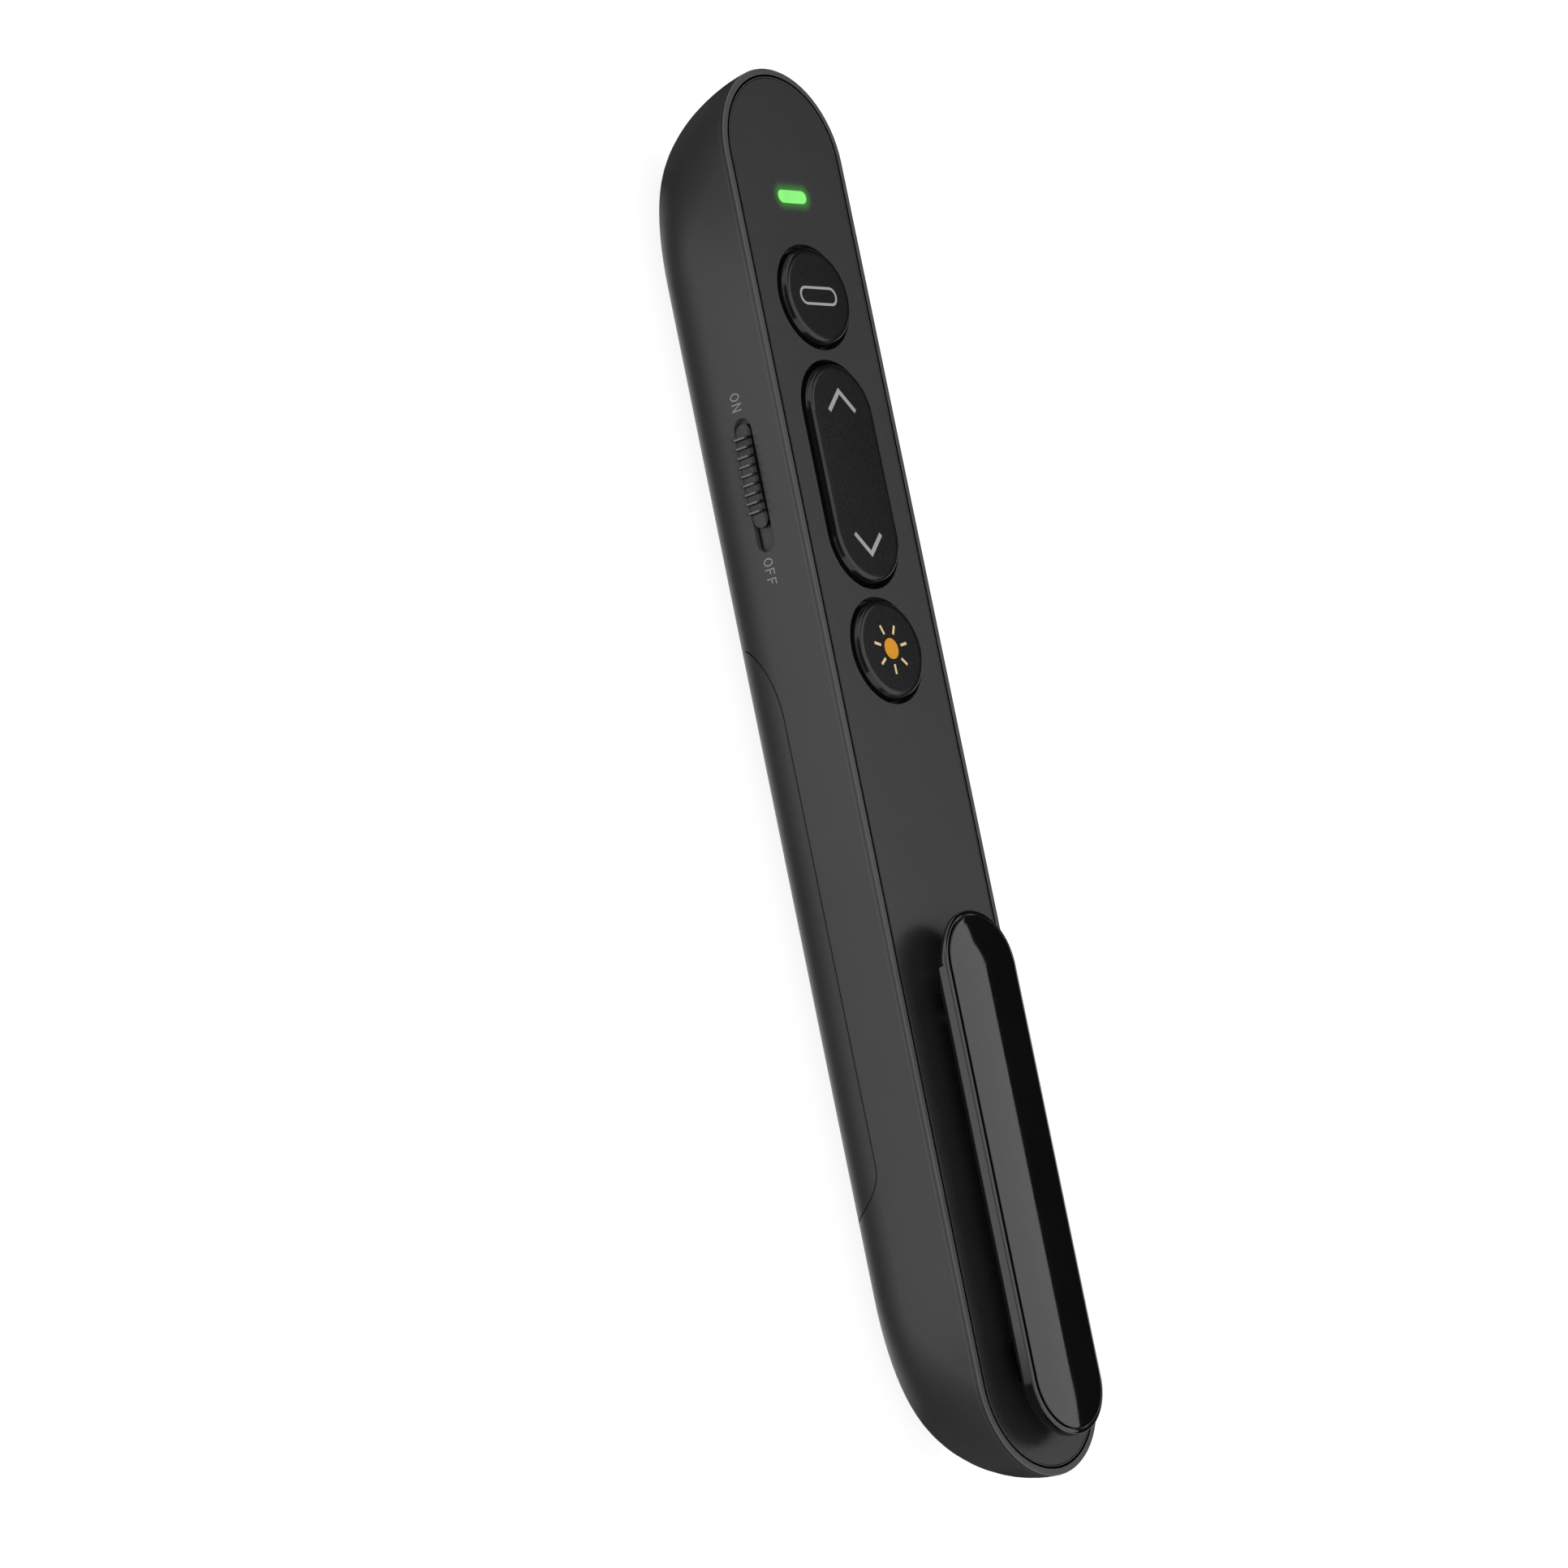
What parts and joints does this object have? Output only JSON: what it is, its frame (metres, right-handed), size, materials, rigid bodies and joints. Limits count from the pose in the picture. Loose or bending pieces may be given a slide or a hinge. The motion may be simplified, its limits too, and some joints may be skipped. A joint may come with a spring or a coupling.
{
  "type": "wireless presentation clicker",
  "caption": "Slim hand-held presentation remote with round buttons, a page rocker, a side power slide, a side key, a pocket clip and a battery door.",
  "frame": {"origin": "centre of the rest flat on the back of the housing", "axes": "+Z out of the front face with the buttons, +Y towards the laser end, +X towards the side key"},
  "size_m": [0.0212, 0.15, 0.0194],
  "materials": {
    "housing": "satin",
    "plate": "matt",
    "cap": "satin",
    "lamp": "lit green",
    "knob": "satin",
    "key": "satin",
    "clip": "polished",
    "steel": "nickel plated",
    "board": "solder mask",
    "plunger": "moulded",
    "chip": "moulded",
    "brass": "turned",
    "lens": "polished",
    "cell": "plain sleeve"
  },
  "bodies": {
    "housing": {"rear_shell": "housing", "front_plate": "plate", "light_pipe": "lamp", "circuit_board": "board", "board_screws": "steel", "front_tacts": "steel", "side_tacts": "steel", "slide_switch_case": "steel", "status_led": "lamp", "radio_chip": "chip", "memory_chip": "chip", "crystal": "steel", "laser_barrel": "brass", "laser_lens": "lens", "laser_driver": "board", "battery_cell": "cell", "cell_cap": "steel", "negative_spring": "steel", "negative_contact": "steel", "positive_contact": "steel", "battery_lead": "brass", "receiver_grip": "key", "receiver_plug": "steel", "receiver_tongue": "plunger", "clip_pin": "steel", "clip_springs": "steel"},
    "screen_key": {"screen_button": "cap", "screen_plunger": "plunger"},
    "page_key": {"page_rocker": "cap", "page_plungers": "plunger"},
    "laser_key": {"laser_button": "cap", "laser_plunger": "plunger"},
    "power_slider": {"power_knob": "knob", "slide_switch_lever": "chip"},
    "volume_key": {"side_key": "key", "side_plungers": "chip"},
    "pocket_clip": {"clip": "clip"},
    "door": {"battery_door": "housing"}
  },
  "joints": [
    {"name": "screen_press", "type": "slide", "parent": "housing", "child": "screen_key", "axis": [0, 0, -1], "range_m": [0, 0.00035], "stiffness_N_per_m": 500},
    {"name": "page_rock", "type": "hinge", "parent": "housing", "child": "page_key", "pos_m": [0, 0.031, 0.01285], "axis": [1, 0, 0], "range_deg": [-2, 2], "stiffness_Nm_per_rad": 0.2},
    {"name": "laser_press", "type": "slide", "parent": "housing", "child": "laser_key", "axis": [0, 0, -1], "range_m": [0, 0.00035], "stiffness_N_per_m": 500},
    {"name": "power_slide", "type": "slide", "parent": "housing", "child": "power_slider", "axis": [0, -1, 0], "range_m": [0, 0.002]},
    {"name": "volume_rock", "type": "hinge", "parent": "housing", "child": "volume_key", "pos_m": [0.0078, 0.0373, 0.01], "axis": [0, 0, 1], "range_deg": [-1.3, 1.3], "stiffness_Nm_per_rad": 0.2},
    {"name": "clip_open", "type": "hinge", "parent": "housing", "child": "pocket_clip", "pos_m": [0, -0.0625, 0.0122], "axis": [1, 0, 0], "range_deg": [0, 11], "stiffness_Nm_per_rad": 0.3},
    {"name": "door_lift", "type": "slide", "parent": "housing", "child": "door", "axis": [0, 0, -1], "range_m": [0, 0.012]}
  ]
}
